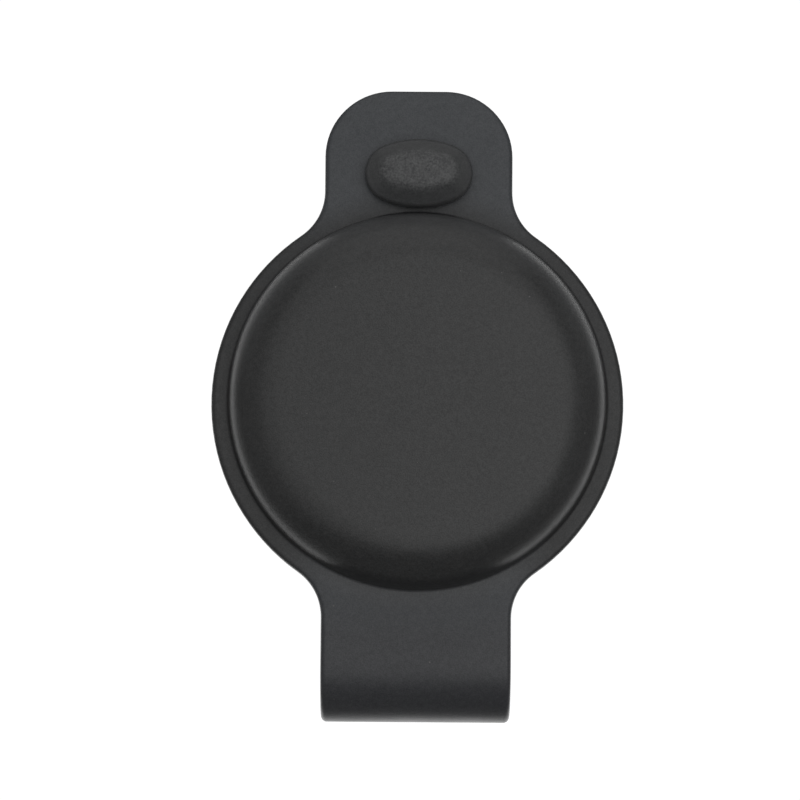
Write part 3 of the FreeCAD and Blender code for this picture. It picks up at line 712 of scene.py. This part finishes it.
# Silicone: the tabs are a little paler and bluer than the pod, and the button's top has a coarse grain whose
# wide spread of tones is partly its own speckle and partly painted glints.
# The collar is painted shade on the flange's upper half and on the tab close to the dome, and the tail's
# foot close to the dome is pale with painted light.
# The places where one tone goes over into the next are in millimetres.
silicone = {
    "ior": 1.41, "cloud": 7.0, "grain": 0.13, "coarse": 0.2, "grainDepth": 0.02,
    "tab": {"dark": (0.028, 0.031, 0.0345), "light": (0.049, 0.0525, 0.057)},
    "tail": {"dark": (0.022, 0.023, 0.0255), "light": (0.041, 0.042, 0.0455), "rough": (0.38, 0.45)},
    "dome": {"dark": (0.0140, 0.0143, 0.0145), "light": (0.0325, 0.0328, 0.033), "rough": (0.32, 0.37)},
    # Painted light: a paler tone on the dome's upper edge, on the side that faces the head
    "upperEdgeLight": {"dark": (0.037, 0.038, 0.039), "light": (0.060, 0.061, 0.062), "rough": (0.36, 0.42)},
    # Painted shade: a darker tone for the flange's upper half and the tab close to the dome
    "collarShade": {"dark": (0.0105, 0.0108, 0.0112), "light": (0.0265, 0.0268, 0.0272)},
    # Painted light: a paler tone for the tail close to the dome's foot
    "tailFootLight": {"dark": (0.050, 0.051, 0.053), "light": (0.074, 0.075, 0.077)},
    "shoulder": {"dark": (0.036, 0.037, 0.038), "light": (0.056, 0.057, 0.058), "rough": (0.36, 0.44)},
    # The button's top: a wide spread of tones in a coarse grain, partly its own speckle and partly painted
    # glints
    "buttonTopSpeckleAndGlints": {"dark": (0.020, 0.021, 0.022), "light": (0.071, 0.072, 0.073), "rough": (0.34, 0.42)},
    "footAt": (11.4, 11.9), "flangeShadeAt": (8.5, 13.0), "tabAt": (-23.0, -18.0), "topAt": (13.2, 14.0),
    "edgeLightAt": (15.9, 14.3), "upperLightAt": (0.0, 9.0), "collarShadeAt": (0.0, 8.0), "footPaintAt": (20.5, 17.6),
    "dust": {"Spacing": 1.3, "Share": 0.1, "Size": 0.06}, "speck": (0.075, 0.075, 0.073),
}


def siliconeColour(tree, mould, look):
    fine = mapRange(tree, mould.outputs["Height"], *fineSpan, 0.0, 1.0)
    return mixColours(tree, silicone[look]["dark"], silicone[look]["light"], fine)


def siliconeRough(tree, mould, look):
    return mapRange(tree, mould.outputs["Tone"], *toneSpan, *silicone[look]["rough"])


def placeAlong(tree, coords):
    place = addNode(tree, "ShaderNodeSeparateXYZ")
    tree.links.new(coords, place.inputs[0])
    return place.outputs


def maskAlong(tree, value, limits):
    # Nothing at the first of the two places, and all at the second
    start, end = silicone[limits]
    return mapRange(tree, value, start * millimetre, end * millimetre, 0.0, 1.0)


def addPodTonesAndPaintedLight(tree, coords, mould, colour, roughness):
    # From tail to tab along the part, with the flange, the dome and the dome's upper edge over that: the
    # flange and the tab close to the dome carry painted shade, and the dome's upper edge and the tail's foot
    # carry painted light
    place = placeAlong(tree, coords)
    side = addNode(tree, "ShaderNodeMath", operation="ABSOLUTE")
    tree.links.new(place["X"], side.inputs[0])
    onDome = maskAlong(tree, place["Z"], "footAt")
    # The flange's sides take the dome's darker tone instead of the tab's: painted shade from the dome
    onPod = combine(tree, "MAXIMUM", onDome, maskAlong(tree, side.outputs[0], "flangeShadeAt"))
    # The dome's upper edge towards the head side gets painted light
    atEdgeLight, onUpperLight = maskAlong(tree, place["Z"], "edgeLightAt"), maskAlong(tree, place["Y"], "upperLightAt")
    onEdgeLight = combine(tree, "MULTIPLY", atEdgeLight, onUpperLight)
    inCollarShade = maskAlong(tree, place["Y"], "collarShadeAt")
    # Close to the dome's foot the tab takes painted shade on its upper side and painted light on its lower
    # side
    onFootPaint = maskAlong(tree, reachFromAxis(tree, coords), "footPaintAt")
    onTab = maskAlong(tree, place["Y"], "tabAt")

    looks = ("tab", "dome", "upperEdgeLight", "collarShade", "tailFootLight")
    pod = {look: siliconeColour(tree, mould, look) for look in looks}
    footPaintColour = mixColours(tree, pod["tailFootLight"], pod["collarShade"], inCollarShade)
    tabColour = mixColours(tree, pod["tab"], footPaintColour, onFootPaint)
    flangeColour = mixColours(tree, pod["dome"], pod["collarShade"], inCollarShade)
    domeColour = mixColours(tree, pod["dome"], pod["upperEdgeLight"], onEdgeLight)
    podColour = mixColours(tree, flangeColour, domeColour, onDome)
    colour = mixColours(tree, colour, tabColour, onTab)
    colour = mixColours(tree, colour, podColour, onPod)
    domeRough, edgeRough = siliconeRough(tree, mould, "dome"), siliconeRough(tree, mould, "upperEdgeLight")
    domeRough = mixValues(tree, domeRough, edgeRough, onEdgeLight)
    return colour, mixValues(tree, roughness, domeRough, onDome)


def makeSilicone(name, look, hasDome=False, hasTop=False):
    material, tree, shader, coords = newMaterial(name)
    shader.inputs["IOR"].default_value = silicone["ior"]
    mould = useGroup(tree, grainGroup, coords, Grain=silicone["grain"], Cloud=silicone["cloud"])
    height = mould.outputs["Height"]
    colour, roughness = siliconeColour(tree, mould, look), siliconeRough(tree, mould, look)
    if hasDome:
        colour, roughness = addPodTonesAndPaintedLight(tree, coords, mould, colour, roughness)
    if hasTop:
        coarse = useGroup(tree, grainGroup, coords, Grain=silicone["coarse"], Cloud=silicone["cloud"])
        onTop = maskAlong(tree, placeAlong(tree, coords)["Z"], "topAt")
        colour = mixColours(tree, colour, siliconeColour(tree, coarse, "buttonTopSpeckleAndGlints"), onTop)
        roughness = mixValues(tree, roughness, siliconeRough(tree, coarse, "buttonTopSpeckleAndGlints"), onTop)
        height = mixValues(tree, height, coarse.outputs["Height"], onTop)
    dust = useGroup(tree, dustGroup, coords, **silicone["dust"])
    colour = mixColours(tree, colour, silicone["speck"], dust.outputs["Mask"])
    dressShader(tree, shader, colour, roughness, height, silicone["grainDepth"])
    return material


# Plain finishes: two tones of colour, a range of roughness, grain in millimetres, and metal or not
finishes = {
    "casePlastic": {
        "tones": ((0.80, 0.80, 0.785), (0.86, 0.86, 0.845)), "rough": (0.16, 0.24),
        "grain": 0.4, "depth": 0.002, "metal": 0.0},
    "linerPlastic": {
        "tones": ((0.62, 0.62, 0.60), (0.70, 0.70, 0.68)), "rough": (0.42, 0.52),
        "grain": 0.25, "depth": 0.006, "metal": 0.0},
    "sealRubber": {
        "tones": ((0.022, 0.022, 0.022), (0.035, 0.035, 0.035)), "rough": (0.6, 0.72),
        "grain": 0.2, "depth": 0.01, "metal": 0.0},
    "padFoam": {
        "tones": ((0.05, 0.05, 0.052), (0.10, 0.10, 0.10)), "rough": (0.85, 0.95),
        "grain": 0.35, "depth": 0.12, "metal": 0.0},
    "gasketPlastic": {
        "tones": ((0.50, 0.51, 0.48), (0.58, 0.58, 0.55)), "rough": (0.4, 0.5),
        "grain": 0.3, "depth": 0.006, "metal": 0.0},
    "electrodePowder": {
        "tones": ((0.018, 0.018, 0.019), (0.04, 0.04, 0.041)), "rough": (0.75, 0.9),
        "grain": 0.18, "depth": 0.03, "metal": 0.0},
    "chipEpoxy": {
        "tones": ((0.016, 0.016, 0.017), (0.026, 0.026, 0.027)), "rough": (0.5, 0.62),
        "grain": 0.08, "depth": 0.006, "metal": 0.0},
    "capacitorCeramic": {
        "tones": ((0.30, 0.20, 0.11), (0.40, 0.28, 0.16)), "rough": (0.4, 0.55),
        "grain": 0.1, "depth": 0.006, "metal": 0.0},
    "piezoCeramic": {
        "tones": ((0.56, 0.53, 0.44), (0.66, 0.63, 0.54)), "rough": (0.35, 0.5),
        "grain": 0.2, "depth": 0.006, "metal": 0.0},
    "shieldTin": {
        "tones": ((0.60, 0.60, 0.585), (0.70, 0.70, 0.685)), "rough": (0.28, 0.42),
        "grain": 0.5, "depth": 0.004, "metal": 1.0},
    "antennaCopper": {
        "tones": ((0.66, 0.34, 0.20), (0.76, 0.43, 0.27)), "rough": (0.26, 0.38),
        "grain": 0.3, "depth": 0.004, "metal": 1.0},
    "contactGold": {
        "tones": ((0.70, 0.54, 0.24), (0.80, 0.65, 0.34)), "rough": (0.22, 0.34),
        "grain": 0.3, "depth": 0.004, "metal": 1.0},
}
cloudPerGrain = 10
# Spun metals: the same, with the pitch of their rings in millimetres
spunFinishes = {
    "coverSteel": {
        "tones": ((0.56, 0.56, 0.55), (0.66, 0.66, 0.65)), "rough": (0.24, 0.36),
        "pitch": 0.09, "depth": 0.004},
    "cellSteel": {
        "tones": ((0.60, 0.60, 0.585), (0.69, 0.69, 0.675)), "rough": (0.24, 0.36),
        "pitch": 0.3, "depth": 0.003},
    "sounderBrass": {
        "tones": ((0.64, 0.48, 0.22), (0.74, 0.58, 0.29)), "rough": (0.25, 0.38),
        "pitch": 0.2, "depth": 0.003},
}


def makeFinish(name, look):
    material, tree, shader, coords = newMaterial(name)
    shader.inputs["Metallic"].default_value = look["metal"]
    mould = useGroup(tree, grainGroup, coords, Grain=look["grain"], Cloud=cloudPerGrain * look["grain"])
    colour = mixColours(tree, *look["tones"], mould.outputs["Tone"])
    roughness = mapRange(tree, mould.outputs["Tone"], *toneSpan, *look["rough"])
    dressShader(tree, shader, colour, roughness, mould.outputs["Height"], look["depth"])
    return material


def makeSpunFinish(name, look):
    material, tree, shader, coords = newMaterial(name)
    shader.inputs["Metallic"].default_value = 1.0
    rings = useGroup(tree, ringGroup, coords, Pitch=look["pitch"])
    colour = mixColours(tree, *look["tones"], rings.outputs["Height"])
    roughness = mapRange(tree, rings.outputs["Tone"], *toneSpan, *look["rough"])
    dressShader(tree, shader, colour, roughness, rings.outputs["Height"], look["depth"])
    return material


# Circuit board: dark green mask with tracks that show as slightly paler lines
boardLook = {
    "mask": (0.012, 0.045, 0.028), "track": (0.022, 0.085, 0.05), "rough": (0.3, 0.42), "depth": 0.02,
    "lines": {"Scale": 900.0, "Mortar Size": 0.08, "Mortar Smooth": 0.3},
    "grain": {"Grain": 0.12, "Cloud": 3.0},
}


def makeBoardMask():
    material, tree, shader, coords = newMaterial("boardMask")
    bricks = addNode(tree, "ShaderNodeTexBrick", boardLook["lines"])
    tree.links.new(coords, bricks.inputs["Vector"])
    mould = useGroup(tree, grainGroup, coords, **boardLook["grain"])
    colour = mixColours(tree, boardLook["mask"], boardLook["track"], bricks.outputs["Fac"])
    roughness = mapRange(tree, mould.outputs["Tone"], *toneSpan, *boardLook["rough"])
    dressShader(tree, shader, colour, roughness, bricks.outputs["Fac"], boardLook["depth"])
    return material


materials = {name: makeFinish(name, look) for name, look in finishes.items()}
materials.update({name: makeSpunFinish(name, look) for name, look in spunFinishes.items()})
materials["boardMask"] = makeBoardMask()
materials["coverSilicone"] = makeSilicone("coverSilicone", "tail", hasDome=True)
materials["bandSilicone"] = makeSilicone("bandSilicone", "tail")
materials["buttonSilicone"] = makeSilicone("buttonSilicone", "shoulder", hasTop=True)

wearing = {
    "coverSilicone": [podCover],
    "bandSilicone": [foldFront, foldBack, strapBand, lipRing],
    "buttonSilicone": [buttonStud],
    "coverSteel": [steelCover],
    "casePlastic": ["tag_shell", "tag_base"],
    "linerPlastic": ["cover_liner"],
    "sealRubber": ["cover_seal"],
    "padFoam": ["cover_pad"],
    "cellSteel": ["cell_can", "cell_cap"],
    "gasketPlastic": ["cell_gasket"],
    "electrodePowder": ["cell_core"],
    "boardMask": ["circuit_board"],
    "shieldTin": ["radio_shield", "board_crystal"],
    "chipEpoxy": ["radio_chip", "sensor_chip"],
    "capacitorCeramic": ["board_capacitors"],
    "antennaCopper": ["antenna_loop"],
    "contactGold": ["centre_contact", "side_contacts", "sounder_pins"],
    "sounderBrass": ["sounder_plate"],
    "piezoCeramic": ["sounder_ceramic"],
}
for name, wearers in wearing.items():
    for wearer in wearers:
        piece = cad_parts[wearer] if isinstance(wearer, str) else wearer
        piece.data.materials.clear()
        piece.data.materials.append(materials[name])
print("materials assigned:", len(materials))

# Floor and world: a white card with a painted pool of light close to the part, dimmer further out, and with
# the part's shadow on it
stage = {
    # near and far are the card's colour close to the part and further out: a painted pool of light that dims
    # away from the part
    "size": 1.6, "drop": 0.00005, "near": (0.9, 0.9, 0.9), "far": (0.28, 0.28, 0.28),
    "middle": (0.0, -0.0035, 0.0), "litPoolRadius": 0.031, "litPoolEdgeRadius": 0.039,
    "rough": 0.9, "glow": 0.85, "whiteGlow": 1.17, "poolGlowInReflections": 2.1, "worldLight": 0.17, "worldSeen": 1.0,
}


def makeFloor():
    bpy.ops.object.select_all(action="DESELECT")
    bpy.ops.mesh.primitive_plane_add(size=stage["size"], location=(0, 0, -stage["drop"]))
    floor = bpy.context.object
    floor.name = "floor"
    material, tree, shader, coords = newMaterial("floorWhiteLitPool")
    reach = addNode(tree, "ShaderNodeVectorMath", {1: stage["middle"]}, operation="DISTANCE")
    tree.links.new(coords, reach.inputs[0])
    near = mapRange(tree, reach.outputs["Value"], stage["litPoolRadius"], stage["litPoolEdgeRadius"], 1.0, 0.0)
    tree.links.new(mixColours(tree, stage["far"], stage["near"], near), shader.inputs["Base Color"])
    shader.inputs["Roughness"].default_value = stage["rough"]
    shader.inputs["Specular IOR Level"].default_value = 0.0

    # The camera and clear pieces see the card white all over, and shiny ones see the painted pool of light
    # close by, brighter than white: a painted reflection
    path = addNode(tree, "ShaderNodeLightPath").outputs
    poolInReflections = combine(tree, "MULTIPLY", path["Is Glossy Ray"], near)
    seen = combine(tree, "MAXIMUM", path["Is Camera Ray"], poolInReflections)
    clear = combine(tree, "MAXIMUM", seen, path["Is Transmission Ray"])
    amount = combine(tree, "MULTIPLY", clear, stage["glow"])
    strength = mapRange(tree, path["Is Glossy Ray"], 0.0, 1.0, stage["whiteGlow"], stage["poolGlowInReflections"])
    glow = addNode(tree, "ShaderNodeEmission")
    mix = addNode(tree, "ShaderNodeMixShader")
    tree.links.new(strength, glow.inputs["Strength"])
    tree.links.new(amount, mix.inputs[0])
    tree.links.new(shader.outputs[0], mix.inputs[1])
    tree.links.new(glow.outputs[0], mix.inputs[2])
    tree.links.new(mix.outputs[0], tree.nodes["Material Output"].inputs["Surface"])
    floor.data.materials.append(material)


def makeWorld():
    world = bpy.data.worlds.new("studio")
    bpy.context.scene.world = world
    world.use_nodes = True
    tree = world.node_tree
    backdrop = tree.nodes["Background"]
    backdrop.inputs["Color"].default_value = (1.0, 1.0, 1.0, 1.0)
    path = addNode(tree, "ShaderNodeLightPath").outputs
    strength = mapRange(tree, path["Is Camera Ray"], 0.0, 1.0, stage["worldLight"], stage["worldSeen"])
    tree.links.new(strength, backdrop.inputs["Strength"])


# Each lamp is a soft panel: its middle, the point that it faces, its sides in metres and its brightness
lamps = {
    "overhead": {
        "at": (0.0, 0.285, 0.60), "towards": (0.0, 0.285, 0.0), "sides": (1.32, 1.51), "brightness": 0.67},
    "cornerFill": {
        "at": (0.29, -0.08, 0.58), "towards": (0.29, -0.08, 0.0), "sides": (0.68, 0.76), "brightness": 0.55},
    "headSide": {
        "at": (0.0, 1.20, 0.45), "towards": (0.0, 0.0, 0.45), "sides": (1.60, 0.90), "brightness": 0.68},
    "rightSide": {
        "at": (1.0, 0.0, 0.35), "towards": (0.0, 0.0, 0.35), "sides": (1.60, 0.70), "brightness": 0.22},
    "leftSide": {
        "at": (-1.0, 0.0, 0.35), "towards": (0.0, 0.0, 0.35), "sides": (1.60, 0.70), "brightness": 0.2},
}


def makeLamps():
    for name, lamp in lamps.items():
        light = bpy.data.lights.new(name, "AREA")
        light.shape = "RECTANGLE"
        light.size, light.size_y = lamp["sides"]
        light.energy = lamp["brightness"] * math.pi * light.size * light.size_y
        panel = bpy.data.objects.new(name, light)
        bpy.context.scene.collection.objects.link(panel)
        panel.location = lamp["at"]
        aim = Vector(lamp["towards"]) - Vector(lamp["at"])
        panel.rotation_euler = aim.to_track_quat("-Z", "Y").to_euler()
        panel.visible_camera = False


# Camera: above and a little towards the tail, turned slightly as the object lies in the photograph
view = {
    "pixels": 800, "pixelsPerMillimetre": 10.51, "middle": (417.4, 398.16),
    "tilt": 6.5, "lean": 0.42, "distance": 300.0, "sensor": 36.0, "clips": (0.01, 10.0),
}


def makeCamera():
    scale, halfWay = view["pixelsPerMillimetre"], view["pixels"] / 2
    across, down = [(middle - halfWay) / scale for middle in view["middle"]]
    tilt = Matrix.Rotation(math.radians(view["tilt"]), 3, "X")
    turn = tilt @ Matrix.Rotation(math.radians(view["lean"]), 3, "Z")
    data = bpy.data.cameras.new("camera")
    data.sensor_width = view["sensor"]
    data.lens = view["sensor"] * view["distance"] / (view["pixels"] / scale)
    data.clip_start, data.clip_end = view["clips"]
    camera = bpy.data.objects.new("camera", data)
    bpy.context.scene.collection.objects.link(camera)
    target = Vector((0, 0, cover["sheetFront"]))
    camera.location = (target + turn @ Vector((-across, down, view["distance"]))) * millimetre
    camera.rotation_euler = turn.to_euler()
    bpy.context.scene.camera = camera


makeFloor()
makeWorld()
makeLamps()
makeCamera()
bpy.context.scene.view_settings.view_transform = "Standard"
print("floor, lamps and camera made")
